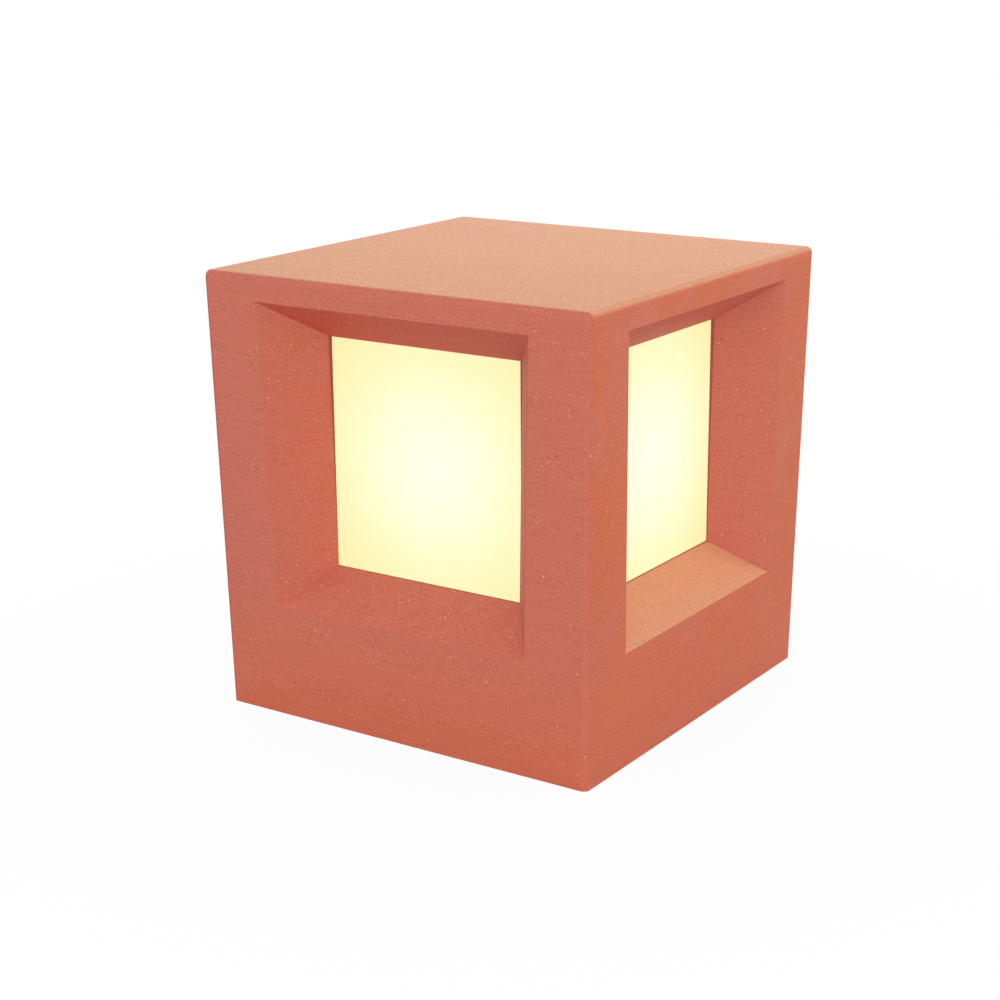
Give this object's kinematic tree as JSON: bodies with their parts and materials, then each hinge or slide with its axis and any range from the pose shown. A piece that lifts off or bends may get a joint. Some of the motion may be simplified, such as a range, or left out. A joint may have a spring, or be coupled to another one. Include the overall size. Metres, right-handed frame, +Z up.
{
  "type": "cube light",
  "caption": "Cube-shaped outdoor light: a cast housing with a splayed window in each wall, an opal sleeve lit from the middle, and a base plate with a cable inlet.",
  "frame": {"origin": "middle of the housing's footprint, on the surface it stands on", "axes": "+Z up, the front face looks along -Y, the four faces are alike"},
  "size_m": [0.1998, 0.1998, 0.203],
  "materials": {
    "housing_coating": "matte terracotta powder coat on cast aluminium",
    "opal": "opal diffusing polycarbonate, satin",
    "silicone": "pressed silicone rubber",
    "cast_plate": "as die cast",
    "sheet_aluminium": "folded sheet, mill finish",
    "column_aluminium": "extruded, clear anodised",
    "cap_plastic": "moulded white",
    "stainless": "stainless, plain",
    "zinc_steel": "bright zinc plated",
    "brass_parts": "turned, plain",
    "board_white": "white solder mask on an aluminium core",
    "chip_phosphor": "warm white phosphor in a white package",
    "connector_white": "moulded nylon",
    "driver_plastic": "moulded",
    "gland_black": "moulded polyamide",
    "lead_brown": "PVC insulation",
    "lead_green": "PVC insulation",
    "lead_white": "silicone insulation"
  },
  "bodies": {
    "root": {"housing": "housing_coating", "diffuser_sleeve": "opal", "window_gaskets": "silicone", "base_gasket": "silicone", "gland_seal": "silicone", "base_plate": "cast_plate", "gear_tray": "sheet_aluminium", "led_column": "column_aluminium", "column_cap": "cap_plastic", "base_screws": "stainless", "tray_screws": "stainless", "sleeve_screws": "stainless", "column_screws": "stainless", "board_screws": "stainless", "driver_screws": "stainless", "tray_standoffs": "zinc_steel", "terminal_screws": "zinc_steel", "earth_washer": "zinc_steel", "earth_stud": "brass_parts", "earth_nut": "brass_parts", "earth_tag": "brass_parts", "led_board_front": "board_white", "led_board_right": "board_white", "led_board_back": "board_white", "led_board_left": "board_white", "led_chips": "chip_phosphor", "board_connectors": "connector_white", "terminal_block": "connector_white", "driver_case": "driver_plastic", "driver_lid": "driver_plastic", "gland_body": "gland_black", "gland_nut": "gland_black", "gland_locknut": "gland_black", "vent_plug": "gland_black", "vent_nut": "gland_black", "mains_leads": "lead_brown", "earth_lead": "lead_green", "feed_leads": "lead_white", "link_leads": "lead_white"}
  },
  "joints": []
}
